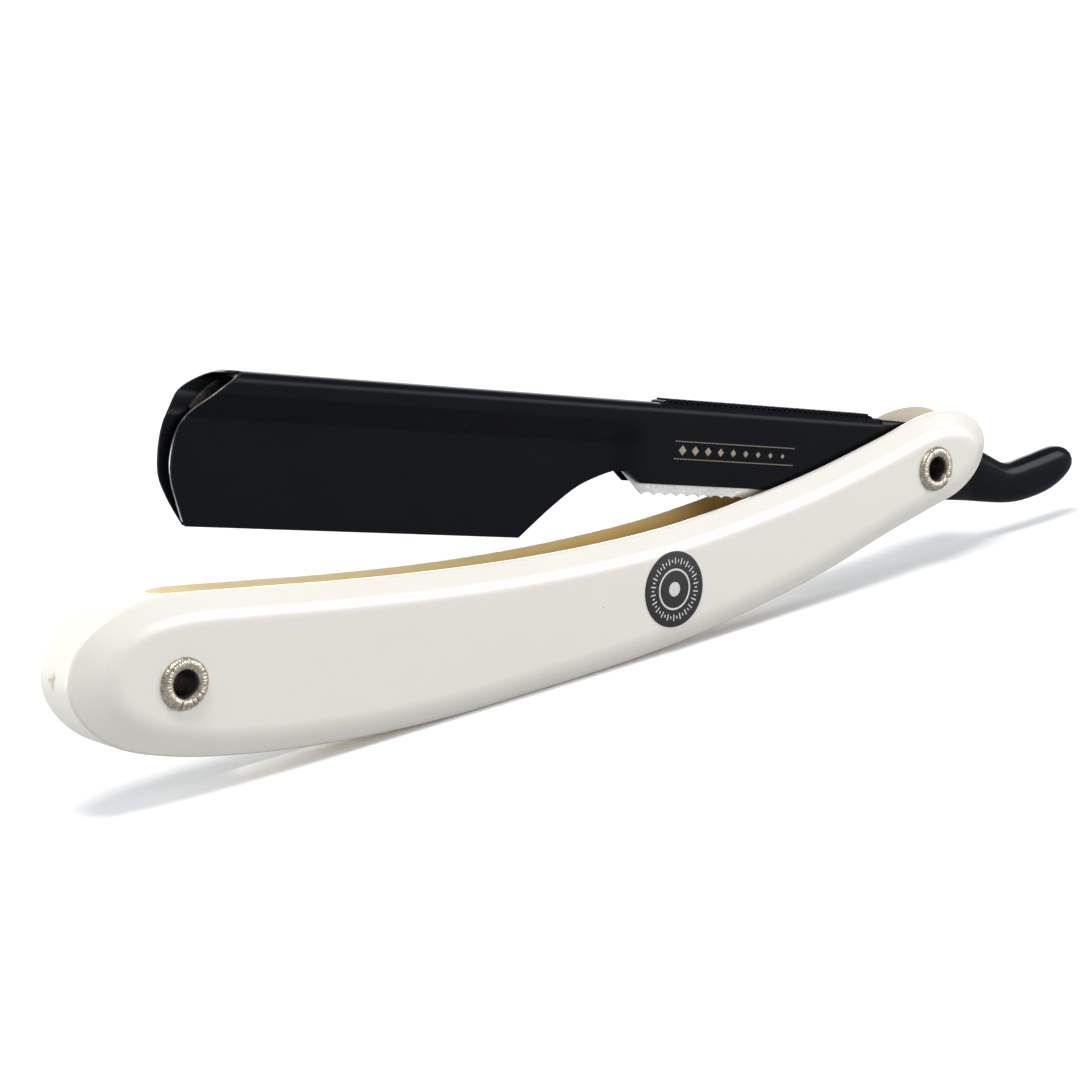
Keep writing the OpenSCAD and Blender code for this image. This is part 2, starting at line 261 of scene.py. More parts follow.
def lathe(name, profile, centre_x, steps, *materials, shape=None):
    """Spins a closed profile of (radius, y) about an eyelet's axis."""
    rows, n = [], len(profile)
    for k in range(steps):
        turn = 2 * math.pi * k / steps
        for r, y in profile:
            if shape:
                r, y = shape(r, y, turn)
            rows.append((centre_x + r * math.cos(turn), y, r * math.sin(turn)))
    return face_outwards(new_piece(name, rows, ring_faces(steps, n, True), *materials))


def shade_smooth(obj, angle=30.0):
    obj.data.shade_smooth()
    obj.data.set_sharp_from_angle(angle=math.radians(angle))
    return obj


def into_arm_frame(obj):
    """Swings a piece made along X to the arm's angle at rest."""
    obj.data.transform(Matrix.Rotation(OPEN_ANGLE, 4, "Y"))
    return obj


def joined(name, pieces):
    """Joins pieces, and their materials, into one mesh."""
    first = pieces[0]
    with bpy.context.temp_override(active_object=first, object=first,
                                   selected_objects=pieces,
                                   selected_editable_objects=pieces):
        bpy.ops.object.join()
    first.name = first.data.name = name
    return first


# --- Node helpers ---

def add(tree, kind, inputs=(), **settings):
    """A node with its settings, and its inputs set or linked."""
    made = tree.nodes.new(kind)
    for key, value in settings.items():
        setattr(made, key, value)
    for key, value in dict(inputs).items():
        if isinstance(value, bpy.types.NodeSocket):
            tree.links.new(value, made.inputs[key])
        else:
            made.inputs[key].default_value = value
    return made


def shader_group(name, inputs, outputs):
    """An empty shader group with float inputs, and its two end nodes."""
    tree = bpy.data.node_groups.new(name, "ShaderNodeTree")
    for label, value in inputs:
        socket = tree.interface.new_socket(name=label, in_out="INPUT",
                                           socket_type="NodeSocketFloat")
        socket.default_value = value
    for label in outputs:
        tree.interface.new_socket(name=label, in_out="OUTPUT", socket_type="NodeSocketFloat")
    return tree, tree.nodes.new("NodeGroupInput").outputs, tree.nodes.new("NodeGroupOutput")


def use(tree, group, inputs=()):
    """Places a shader group in a material."""
    made = tree.nodes.new("ShaderNodeGroup")
    made.node_tree = group
    for key, value in dict(inputs).items():
        made.inputs[key].default_value = value
    return made.outputs


def mottle_group():
    """Slow cloudy change from place to place, 0 to 1."""
    tree, given, out = shader_group("mottle", [("Scale", 150), ("Contrast", 0.2)], ["Mask"])
    place = add(tree, "ShaderNodeTexCoord").outputs["Object"]
    cloud = add(tree, "ShaderNodeTexNoise", {
        "Vector": place, "Scale": given["Scale"], "Detail": 5, "Roughness": 0.6})
    low = add(tree, "ShaderNodeMath", {0: 0.5, 1: given["Contrast"]}, operation="SUBTRACT")
    high = add(tree, "ShaderNodeMath", {0: 0.5, 1: given["Contrast"]}, operation="ADD")
    spread_out = add(tree, "ShaderNodeMapRange", {
        "Value": cloud.outputs["Fac"], "From Min": low.outputs[0],
        "From Max": high.outputs[0]})
    tree.links.new(spread_out.outputs[0], out.inputs["Mask"])
    return tree


def grain_group():
    """Fine grain that can be drawn out along X, as brushing is."""
    tree, given, out = shader_group("grain", [("Scale", 4000), ("Along X", 1)], ["Height"])
    place = add(tree, "ShaderNodeTexCoord").outputs["Object"]
    stretch = add(tree, "ShaderNodeCombineXYZ", {"X": given["Along X"], "Y": 1, "Z": 1})
    drawn = add(tree, "ShaderNodeVectorMath", {0: place, 1: stretch.outputs[0]},
                operation="MULTIPLY")
    noise = add(tree, "ShaderNodeTexNoise", {
        "Vector": drawn.outputs[0], "Scale": given["Scale"], "Detail": 3,
        "Roughness": 0.65})
    tree.links.new(noise.outputs["Fac"], out.inputs["Height"])
    return tree


def speck_group():
    """Scattered dust and pits: few, small and of uneven size."""
    tree, given, out = shader_group(
        "specks", [("Scale", 300), ("Size", 0.1), ("Share", 0.3)], ["Mask"])
    place = add(tree, "ShaderNodeTexCoord").outputs["Object"]
    cells = add(tree, "ShaderNodeTexVoronoi", {"Vector": place, "Scale": given["Scale"]})
    picked = add(tree, "ShaderNodeSeparateColor", {"Color": cells.outputs["Color"]})
    size = add(tree, "ShaderNodeMath", {0: picked.outputs["Green"], 1: given["Size"]},
               operation="MULTIPLY")
    near = add(tree, "ShaderNodeMath", {0: cells.outputs["Distance"], 1: size.outputs[0]},
               operation="LESS_THAN")
    chosen = add(tree, "ShaderNodeMath", {0: picked.outputs["Red"], 1: given["Share"]},
                 operation="LESS_THAN")
    both = add(tree, "ShaderNodeMath", {0: near.outputs[0], 1: chosen.outputs[0]},
               operation="MULTIPLY")
    tree.links.new(both.outputs[0], out.inputs["Mask"])
    return tree


def rub_group():
    """Patches where a rounded edge has been rubbed, 0 to 1."""
    tree, given, out = shader_group("edge_rub", [("Scale", 900), ("Amount", 0.5)], ["Mask"])
    place = add(tree, "ShaderNodeTexCoord").outputs["Object"]
    noise = add(tree, "ShaderNodeTexNoise", {
        "Vector": place, "Scale": given["Scale"], "Detail": 5, "Roughness": 0.65})
    broken = add(tree, "ShaderNodeMapRange", {
        "Value": noise.outputs["Fac"], "From Min": 0.4, "From Max": 0.62})
    kept = add(tree, "ShaderNodeMath", {0: broken.outputs[0], 1: given["Amount"]},
               operation="MULTIPLY")
    tree.links.new(kept.outputs[0], out.inputs["Mask"])
    return tree


def streak_group():
    """Streaks that run out from an eyelet's middle, as a rolled edge has."""
    tree, given, out = shader_group("radial_streaks", [("Centre X", 0), ("Count", 30)],
                                    ["Mask"])
    place = add(tree, "ShaderNodeSeparateXYZ", {
        0: add(tree, "ShaderNodeTexCoord").outputs["Object"]})
    across = add(tree, "ShaderNodeMath", {0: place.outputs["X"], 1: given["Centre X"]},
                 operation="SUBTRACT")
    turn = add(tree, "ShaderNodeMath", {0: place.outputs["Z"], 1: across.outputs[0]},
               operation="ARCTAN2")
    out_from = add(tree, "ShaderNodeVectorMath", {
        0: add(tree, "ShaderNodeCombineXYZ",
               {"X": across.outputs[0], "Y": place.outputs["Z"]}).outputs[0]},
        operation="LENGTH")
    far_out = add(tree, "ShaderNodeMath", {0: out_from.outputs["Value"], 1: 260.0},
                  operation="MULTIPLY")
    wound = add(tree, "ShaderNodeCombineXYZ", {"X": turn.outputs[0], "Y": far_out.outputs[0]})
    noise = add(tree, "ShaderNodeTexNoise", {
        "Vector": wound.outputs[0], "Scale": given["Count"], "Detail": 3, "Roughness": 0.7},
        noise_dimensions="2D")
    hard = add(tree, "ShaderNodeMapRange", {
        "Value": noise.outputs["Fac"], "From Min": 0.42, "From Max": 0.6})
    tree.links.new(hard.outputs[0], out.inputs["Mask"])
    return tree


MOTTLE, GRAIN, SPECKS, RUB, STREAKS = (mottle_group(), grain_group(), speck_group(),
                                       rub_group(), streak_group())


def new_material(name, **sockets):
    """A material with constant values on its shader's own sockets."""
    m = bpy.data.materials.new(name)
    m.use_nodes = True
    shader = m.node_tree.nodes["Principled BSDF"]
    for label, value in sockets.items():
        shader.inputs[label.replace("_", " ")].default_value = value
    return m, m.node_tree, shader


def mix_colour(tree, factor, a, b):
    """Goes from colour a to colour b as factor goes from 0 to 1."""
    made = add(tree, "ShaderNodeMix", data_type="RGBA")
    for socket, value in ((made.inputs[0], factor), (made.inputs[6], a), (made.inputs[7], b)):
        if isinstance(value, bpy.types.NodeSocket):
            tree.links.new(value, socket)
        else:
            socket.default_value = value if isinstance(value, float) else (*value, 1)
    return made.outputs[2]


def set_range(tree, value, low, high):
    return add(tree, "ShaderNodeMapRange",
               {"Value": value, "To Min": low, "To Max": high}).outputs[0]


def set_bump(tree, shader, height, distance, strength=1.0):
    made = add(tree, "ShaderNodeBump", {
        "Height": height, "Distance": distance * MM, "Strength": strength})
    tree.links.new(made.outputs[0], shader.inputs["Normal"])


# --- Finishes ---

def ivory_plastic():
    m, tree, shader = new_material("ivory_plastic", Specular_IOR_Level=0.5, IOR=1.49,
                                   Subsurface_Weight=0.12, Subsurface_Scale=0.0015,
                                   Coat_Weight=0.24, Coat_Roughness=0.2)
    shader.inputs["Subsurface Radius"].default_value = (1.0, 0.8, 0.5)
    cloud = use(tree, MOTTLE, {"Scale": 120, "Contrast": 0.22})["Mask"]
    fine = use(tree, MOTTLE, {"Scale": 900, "Contrast": 0.3})["Mask"]
    base = mix_colour(tree, cloud, (0.79, 0.766, 0.702), (0.78, 0.755, 0.688))
    dust = use(tree, SPECKS, {"Scale": 240, "Size": 0.032, "Share": 0.14})["Mask"]
    dusty = mix_colour(tree, dust, base, (0.33, 0.27, 0.18))
    tree.links.new(dusty, shader.inputs["Base Color"])
    tree.links.new(set_range(tree, fine, 0.262, 0.272), shader.inputs["Roughness"])
    grain = use(tree, GRAIN, {"Scale": 1400, "Along X": 0.6})["Height"]
    set_bump(tree, shader, grain, 0.002)
    return m


def ivory_inside_painted_glow():
    """The scales' inner faces: a painted warm glow for light bounced about and passed through the
    plastic, deeper in colour towards the thumb tab.
    """
    m, tree, shader = new_material("ivory_inside_painted_glow", Specular_IOR_Level=0.3,
                                   Subsurface_Weight=0.1, Subsurface_Scale=0.0015)
    place = add(tree, "ShaderNodeTexCoord").outputs["Object"]
    along = add(tree, "ShaderNodeSeparateXYZ", {0: place}).outputs["X"]
    deep = add(tree, "ShaderNodeMapRange", {
        "Value": along, "From Min": -0.12, "From Max": -0.045},
        interpolation_type="SMOOTHSTEP").outputs[0]
    pale = add(tree, "ShaderNodeMapRange", {
        "Value": along, "From Min": -0.035, "From Max": -0.005},
        interpolation_type="SMOOTHSTEP").outputs[0]
    cloud = use(tree, MOTTLE, {"Scale": 200, "Contrast": 0.25})["Mask"]
    painted_glow_colour = mix_colour(tree, deep, (0.96, 0.84, 0.54), (0.66, 0.46, 0.15))
    fading = mix_colour(tree, pale, painted_glow_colour, (0.70, 0.64, 0.50))
    tinted = mix_colour(tree, cloud, fading, (0.70, 0.54, 0.26))
    kept = mix_colour(tree, 0.25, fading, tinted)
    tree.links.new(kept, shader.inputs["Base Color"])
    tree.links.new(set_range(tree, cloud, 0.42, 0.55), shader.inputs["Roughness"])
    set_bump(tree, shader, use(tree, GRAIN, {"Scale": 900, "Along X": 0.3})["Height"], 0.03)
    return m


def black_coat(name, rough, gloss, rubbed=0.0):
    """Black coating on steel: even, with fine grain, dust and a rubbed look at edges."""
    m, tree, shader = new_material(name, Specular_IOR_Level=0.06, Coat_Roughness=0.14)
    cloud = use(tree, MOTTLE, {"Scale": 130, "Contrast": 0.25})["Mask"]
    base = mix_colour(tree, cloud, (0.0030, 0.0036, 0.0052), (0.0038, 0.0045, 0.0062))
    dust = use(tree, SPECKS, {"Scale": 420, "Size": 0.06, "Share": 0.12})["Mask"]
    dusty = mix_colour(tree, dust, base, (0.16, 0.12, 0.09))
    patches = use(tree, RUB, {"Scale": 1100, "Amount": rubbed})["Mask"]
    worn = mix_colour(tree, patches, dusty, (0.075, 0.08, 0.085))
    tree.links.new(worn, shader.inputs["Base Color"])
    fine = use(tree, MOTTLE, {"Scale": 700, "Contrast": 0.35})["Mask"]
    tree.links.new(set_range(tree, fine, rough - 0.015, rough + 0.02),
                   shader.inputs["Roughness"])
    tree.links.new(set_range(tree, cloud, gloss * 0.85, gloss), shader.inputs["Coat Weight"])
    set_bump(tree, shader, use(tree, GRAIN, {"Scale": 5200})["Height"], 0.006)
    return m


def metal(name, light, dark, rough, scale, along, depth):
    """Bare metal with brushing, and with tarnish and polish in patches."""
    m, tree, shader = new_material(name, Metallic=1.0)
    cloud = use(tree, MOTTLE, {"Scale": scale, "Contrast": 0.18})["Mask"]
    base = mix_colour(tree, cloud, light, dark)
    bright = use(tree, RUB, {"Scale": 2500, "Amount": 0.6})["Mask"]
    tree.links.new(mix_colour(tree, bright, base, tuple(min(1, c * 1.25) for c in light)),
                   shader.inputs["Base Color"])
    grain = use(tree, GRAIN, {"Scale": 3600, "Along X": along})["Height"]
    tree.links.new(set_range(tree, grain, rough - 0.08, rough + 0.1),
                   shader.inputs["Roughness"])
    set_bump(tree, shader, grain, depth)
    return m


def nickel_plate(name, centre_x):
    """Warm nickel over a rolled edge, dark in the streaks that rolling left."""
    m, tree, shader = new_material(name, Metallic=1.0)
    streak = use(tree, STREAKS, {"Centre X": centre_x * MM, "Count": 9.0})["Mask"]
    cloud = use(tree, MOTTLE, {"Scale": 900, "Contrast": 0.2})["Mask"]
    worn = mix_colour(tree, cloud, (0.68, 0.62, 0.52), (0.54, 0.485, 0.40))
    dark = mix_colour(tree, cloud, (0.46, 0.405, 0.32), (0.30, 0.26, 0.20))
    tree.links.new(mix_colour(tree, streak, dark, worn), shader.inputs["Base Color"])
    tree.links.new(set_range(tree, streak, 0.46, 0.28), shader.inputs["Roughness"])
    set_bump(tree, shader, streak, 0.014)
    return m


def print_ink(name, a, b, rough):
    """Pad-printed ink with uneven cover."""
    m, tree, shader = new_material(name, Specular_IOR_Level=0.4)
    cloud = use(tree, MOTTLE, {"Scale": 1500, "Contrast": 0.2})["Mask"]
    tree.links.new(mix_colour(tree, cloud, a, b), shader.inputs["Base Color"])
    tree.links.new(set_range(tree, cloud, rough, rough + 0.12), shader.inputs["Roughness"])
    set_bump(tree, shader, use(tree, GRAIN, {"Scale": 6000})["Height"], 0.006)
    return m


IVORY = ivory_plastic()
# The slot's inner faces: a painted warm glow in place of bounced and passed-through light.
INSIDE_PAINTED_GLOW = ivory_inside_painted_glow()
COATED = black_coat("coated_steel", 0.34, 0.02)
COATED_EDGE = black_coat("coated_steel_edge", 0.3, 0.3, 0.6)
COATED_TAIL = black_coat("coated_steel_tail", 0.26, 0.1)
STEEL = metal("bright_steel", (0.78, 0.77, 0.75), (0.66, 0.65, 0.63), 0.3, 300, 0.06, 0.008)
# Dark steel as painted shade, for the carrier's hollow inside and the far faces at its toe.
STEEL_PAINTED_SHADE = metal("steel_painted_shade", (0.10, 0.085, 0.08), (0.05, 0.04, 0.038), 0.5, 500,
                     0.2, 0.008)
# The eyelets' bores: dark nickel as painted shade inside the holes.
NICKEL_BORE_PAINTED_SHADE = metal("nickel_bore_painted_shade", (0.2, 0.18, 0.15), (0.1, 0.088, 0.072), 0.5, 1500, 1, 0.03)
WASHER = metal("washer_steel", (0.55, 0.55, 0.54), (0.42, 0.42, 0.41), 0.4, 500, 0.2, 0.01)
INK_BLACK = print_ink("badge_ink", (0.011, 0.011, 0.014), (0.017, 0.017, 0.02), 0.4)
INK_PALE = print_ink("badge_pale_ink", (0.72, 0.71, 0.69), (0.58, 0.57, 0.55), 0.45)
GATE_SCAR = print_ink("gate_scar", (0.76, 0.69, 0.54), (0.64, 0.56, 0.4), 0.5)
ETCH = print_ink("etched_line", (0.34, 0.29, 0.22), (0.24, 0.2, 0.155), 0.5)


# --- Repeated shapes ---

def geometry_tree(name, inputs):
    """An empty Geometry Nodes tree with named inputs, and its two end nodes."""
    tree = bpy.data.node_groups.new(name, "GeometryNodeTree")
    sockets = {}
    for label, kind in inputs:
        sockets[label] = tree.interface.new_socket(
            name=label, in_out="INPUT", socket_type="NodeSocket" + kind).identifier
    tree.interface.new_socket(name="Geometry", in_out="OUTPUT",
                              socket_type="NodeSocketGeometry")
    return tree, sockets, tree.nodes.new("NodeGroupInput").outputs, \
        tree.nodes.new("NodeGroupOutput")


def end_tree(tree, instances, material, out):
    real = add(tree, "GeometryNodeRealizeInstances", {"Geometry": instances})
    done = add(tree, "GeometryNodeSetMaterial",
               {"Geometry": real.outputs[0], "Material": material})
    tree.links.new(done.outputs[0], out.inputs["Geometry"])


def row_tree():
    """Blocks in a row along X, smaller towards its far end if asked."""
    tree, sockets, given, out = geometry_tree("blocks_in_a_row", [
        ("Count", "Int"), ("Step", "Float"), ("Size", "Vector"), ("Taper", "Float"),
        ("Turn", "Float"), ("Material", "Material")])
    step = add(tree, "ShaderNodeCombineXYZ", {"X": given["Step"]})
    line = add(tree, "GeometryNodeMeshLine",
               {"Count": given["Count"], "Offset": step.outputs[0]})
    block = add(tree, "GeometryNodeMeshCube", {"Size": given["Size"]})
    index = add(tree, "GeometryNodeInputIndex").outputs[0]
    share = add(tree, "ShaderNodeMath", {0: index, 1: given["Count"]}, operation="DIVIDE")
    lost = add(tree, "ShaderNodeMath", {0: share.outputs[0], 1: given["Taper"]},
               operation="MULTIPLY")
    scale = add(tree, "ShaderNodeMath", {0: 1.0, 1: lost.outputs[0]}, operation="SUBTRACT")
    turn = add(tree, "ShaderNodeCombineXYZ", {"Y": given["Turn"]})
    placed = add(tree, "GeometryNodeInstanceOnPoints", {
        "Points": line.outputs[0], "Instance": block.outputs[0],
        "Rotation": turn.outputs[0], "Scale": scale.outputs[0]})
    end_tree(tree, placed.outputs[0], given["Material"], out)
    return tree, sockets


def ring_tree():
    """Blocks set round a circle, each turned to face its centre."""
    tree, sockets, given, out = geometry_tree("blocks_in_a_ring", [
        ("Count", "Int"), ("Radius", "Float"), ("Size", "Vector"), ("Every Other", "Float"),
        ("Material", "Material")])
    circle = add(tree, "GeometryNodeMeshCircle",
                 {"Vertices": given["Count"], "Radius": given["Radius"]})
    block = add(tree, "GeometryNodeMeshCube", {"Size": given["Size"]})
    index = add(tree, "GeometryNodeInputIndex").outputs[0]
    share = add(tree, "ShaderNodeMath", {0: index, 1: given["Count"]}, operation="DIVIDE")
    turn = add(tree, "ShaderNodeMath", {0: share.outputs[0], 1: 2 * math.pi},
               operation="MULTIPLY")
    facing = add(tree, "ShaderNodeCombineXYZ", {"Z": turn.outputs[0]})
    odd = add(tree, "ShaderNodeMath", {0: index, 1: 2.0}, operation="MODULO")
    lost = add(tree, "ShaderNodeMath", {0: odd.outputs[0], 1: given["Every Other"]},
               operation="MULTIPLY")
    scale = add(tree, "ShaderNodeMath", {0: 1.0, 1: lost.outputs[0]}, operation="SUBTRACT")
    size = add(tree, "ShaderNodeCombineXYZ", {"X": scale.outputs[0], "Y": 1, "Z": 1})
    placed = add(tree, "GeometryNodeInstanceOnPoints", {
        "Points": circle.outputs[0], "Instance": block.outputs[0],
        "Rotation": facing.outputs[0], "Scale": size.outputs[0]})
    end_tree(tree, placed.outputs[0], given["Material"], out)
    return tree, sockets


ROW, RING = row_tree(), ring_tree()


def repeated(name, kind, **sizes):
    """Runs one of the trees and keeps its result as a plain mesh."""
    tree, sockets = kind
    obj = new_piece(name, [], [])
    m = obj.modifiers.new("repeat", "NODES")
    m.node_group = tree
    for label, value in sizes.items():
        m[sockets[label.replace("_", " ")]] = value
    return settle(obj)


# --- Handle ---

def handle_outline(steps):
    return closed_curve([TIP_LEFT, *TOP_KEYS, TIP_RIGHT, *reversed(BOTTOM_KEYS)], steps)


def bevel_width(nx):
    end = BEVEL_WEDGE if nx < 0 else BEVEL_PIVOT
    return BEVEL_SIDE + (end - BEVEL_SIDE) * nx * nx


def rounded(a, b, c, steps):
    """Points of a curve from a to c that is pulled towards b."""
    return [a.lerp(b, t).lerp(b.lerp(c, t), t) for t in (k / steps for k in range(steps + 1))]


def inner_ring(outline, extra, y):
    """The handle's outline drawn in by the bevel's width, and eased at its tight ends."""
    n, ring = len(outline), []
    for i, point in enumerate(outline):
        along = (Vector(outline[(i + 1) % n]) - Vector(outline[i - 1])).normalized()
        outward = Vector((-along.y, along.x))
        ring.append(Vector(point) - outward * (bevel_width(outward.x) + extra))
    for _ in range(60):
        ring = [ring[i].lerp((ring[i - 1] + ring[(i + 1) % n]) / 2,
                             0.5 * ease((abs(ring[i].x + 62) - 58) / 8)) for i in range(n)]
    return [Vector((p.x, y, p.y)) for p in ring]


def make_handle():
    outline = handle_outline(10)
    n = len(outline)
    rim_y = HANDLE_HALF - BEVEL_DEPTH
    flat, edge = inner_ring(outline, 1.1, HANDLE_HALF), inner_ring(outline, 0, HANDLE_HALF)
    rings = None
    for i, (x, z) in enumerate(outline):
        rim = Vector((x, rim_y, z))
        down = (rim - edge[i]).normalized()
        side = rounded(flat[i], edge[i], edge[i] + down * 1.1, 7)
        side += rounded(rim - down * 0.45, rim, rim - Vector((0, 0.45, 0)), 5)
        column = [(p.x, -p.y - spread(p.x), p.z) for p in side]
        column += [(x, -y, z) for x, y, z in reversed(column)]
        rings = rings or [[] for _ in column]
        for ring, p in zip(rings, column):
            ring.append(p)
    points = [p for r in rings for p in r]
    faces = ring_faces(len(rings), n)
    half, tip = n // 2, 12
    for base in (0, (len(rings) - 1) * n):
        faces += [tuple(base + v for v in (i, i + 1, n - i - 1, n - i))
                  for i in range(tip, half - tip)]
        faces.append(tuple(base + v % n for v in range(n - tip, n + tip + 1)))
        faces.append(tuple(base + v for v in range(half - tip, half + tip + 1)))
    handle = face_outwards(new_piece("handle_scales", points, faces, IVORY, INSIDE_PAINTED_GLOW))
    cut(handle, slot_cutter())
    for x in (0.0, WEDGE_X):
        cut(handle, plate("hole", circle_points(BARREL_R + SEAT_GAP, x), -9, 9))
    soften(handle, 0.4, 4, 40)
    # Inner faces of the slot take the painted warm glow material.
    for f in handle.data.polygons:
        inner = f.center.y * f.normal.y < 0 and abs(f.normal.y) > 0.2
        f.material_index = 1 if inner and abs(f.center.y) < (PIVOT_GAP + 0.5) * MM else 0
    mark = gate_mark()
    handle = joined("handle_scales", [handle, mark])
    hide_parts("handle")
    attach(handle, "handle")


def slot_cutter():
    """The slot as a solid: round at its closed end, and as wide as the scales are spread."""
    end = open_curve(SLOT_END, 6)
    end = [(end[0][0], 18)] + end + [(end[-1][0], -18)]
    stations = [SPLAY_FROM + (SPLAY_TO - SPLAY_FROM) * i / 24 for i in range(25)] + [20.0]
    rings = []
    for k in range(-6, 7):
        across = math.sin(math.pi / 2 * k / 6)
        back = SLOT_ROUND * (1 - math.cos(math.pi / 2 * k / 6))
        side = [(x + back, z) for x, z in end]
        side += [(x, -18) for x in stations] + [(x, 18) for x in reversed(stations)]
        rings.append([(x, across * (SLOT_HALF + spread(x)), z) for x, z in side])
    n, last, ends, many = len(rings[0]), (len(rings) - 1) * len(rings[0]), len(end), len(stations)
    points = [p for r in rings for p in r]
    faces = ring_faces(len(rings), n)
    for base in (0, last):
        faces.append(tuple(base + i for i in [*range(ends + 1), n - 1]))
        faces += [(base + ends + k, base + ends + k + 1, base + n - k - 2, base + n - k - 1)
                  for k in range(many - 1)]
    return face_outwards(new_piece("slot_cutter", points, faces))


def gate_mark():
    """The scar that the moulding gate leaves on the wedge end's wall."""
    count, points = 14, []
    for level, (size, rise) in enumerate(((0.95, -0.2), (0.8, 0.05), (0.45, 0.16), (0.2, 0.04))):
        for k in range(count):
            turn = 2 * math.pi * k / count
            ragged = 1 + 0.3 * math.sin(3 * turn + 0.6) + 0.16 * math.sin(7 * turn + level)
            points.append((GATE_X - rise, 0.3 + 0.75 * size * ragged * math.cos(turn),
                           3.0 + 1.1 * size * ragged * math.sin(turn)))
    faces = ring_faces(4, count)
    faces += [tuple(range(count)), tuple(range(3 * count, 4 * count))]
    return shade_smooth(face_outwards(new_piece("gate_mark", points, faces, GATE_SCAR)), 60)


# --- Eyelets and badge ---

def eyelet_profile(grip):
    """A barrel whose ends roll over and down on the handle's faces."""
    lip = (FLANGE_R - BORE_R) / 2
    steps = 18
    rim = []
    for k in range(steps + 1):
        a = math.pi * k / steps
        flat = math.copysign(abs(math.sin(a)) ** 0.8, math.sin(a))
        rim.append((BORE_R + lip - lip * math.cos(a), grip / 2 + FLANGE_RISE * flat))
    rim += [(FLANGE_R - 0.04, grip / 2 - 0.02), (FLANGE_R - 0.3, grip / 2 - 0.06)]
    wall = [(BARREL_R, grip / 2 - 0.06), (BARREL_R, 0)]
    near = [(r, -y) for r, y in rim + wall[:1]]
    return near + list(reversed(rim + wall[:1]))


def rolled_rim(splits, seed):
    """How the rolled end departs from round: radial splits and fine ridges."""
    def shape(r, y, turn):
        out = min(max((r - BORE_R) / (FLANGE_R - BORE_R), 0), 1)
        if y >= 0 or out <= 0.02:
            return r, y
        ridge = 0.022 * math.sin(46 * turn + seed) + 0.014 * math.sin(71 * turn + 2 * seed)
        lost = 0.0
        for at, wide, deep in splits:
            gap = math.remainder(turn - at, 2 * math.pi) / wide
            lost += deep * math.exp(-gap * gap)
        r2 = r + 0.04 * out * math.sin(2 * turn + seed) - 0.32 * lost * out
        return r2, y + (ridge + 0.34 * lost) * out ** 0.7
    return shape


def make_eyelets():
    wedge_splits = [(math.radians(a), 0.028, d) for a, d in (
        (300, 0.9), (318, 0.5), (283, 0.6), (262, 0.35), (246, 0.75), (214, 0.3), (342, 0.4),
        (20, 0.3), (75, 0.25), (130, 0.3), (170, 0.2))]
    pivot_splits = [(math.radians(a), w, d) for a, w, d in (
        (318, 0.1, 1.0), (292, 0.03, 0.5), (262, 0.03, 0.3), (345, 0.03, 0.4), (40, 0.03, 0.2),
        (110, 0.03, 0.3), (200, 0.03, 0.25))]
    for name, x, grip, splits in (
            ("wedge_eyelet", WEDGE_X, 2 * HANDLE_HALF, wedge_splits),
            ("pivot_eyelet", 0.0, 2 * (HANDLE_HALF + SPLAY), pivot_splits)):
        eyelet = lathe(name + "_rolled", eyelet_profile(grip), x, 240,
                       nickel_plate(name + "_nickel", x), NICKEL_BORE_PAINTED_SHADE,
                       shape=rolled_rim(splits, 0.7 + x))
        # Faces near the axis, which form the bore, take the nickel with painted shade.
        for f in eyelet.data.polygons:
            from_axis = math.hypot(f.center.x - x * MM, f.center.z)
            f.material_index = int(from_axis < (BORE_R + 0.16) * MM)
        shade_smooth(eyelet, 50)
        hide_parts(name)
        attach(eyelet, "handle")


def disc_profile(radius, low, high, edge):
    """Half-profile of a disc with a rounded front edge, from its middle out."""
    arc = [(radius - edge + edge * math.sin(a), high - edge + edge * math.cos(a))
           for a in (math.pi / 2 * k / 4 for k in range(5))]
    return [(0.0, high)] + arc + [(radius, low), (0.0, low)]


def spun_disc(name, profile, steps, *materials):
    """A solid of revolution whose profile starts and ends on the axis, facing +Z."""
    inner = profile[1:-1]
    n = len(inner)
    points = [(r * math.cos(t), r * math.sin(t), z)
              for t in (2 * math.pi * k / steps for k in range(steps)) for r, z in inner]
    points += [(0, 0, profile[0][1]), (0, 0, profile[-1][1])]
    top, bottom = len(points) - 2, len(points) - 1
    faces = []
    for k in range(steps):
        a, b = k * n, (k + 1) % steps * n
        faces += [(a + i, a + i + 1, b + i + 1, b + i) for i in range(n - 1)]
        faces += [(top, a, b), (bottom, b + n - 1, a + n - 1)]
    return face_outwards(new_piece(name, points, faces, *materials))


def printed_ring(name, radius, width, low, high, *materials):
    """A thin raised band."""
    profile = [(radius - width / 2, low), (radius - width / 2, high),
               (radius + width / 2, high), (radius + width / 2, low)]
    steps = 120
    points = [(r * math.cos(t), r * math.sin(t), z)
              for t in (2 * math.pi * k / steps for k in range(steps)) for r, z in profile]
    return face_outwards(new_piece(name, points, ring_faces(steps, len(profile), True),
                                   *materials))


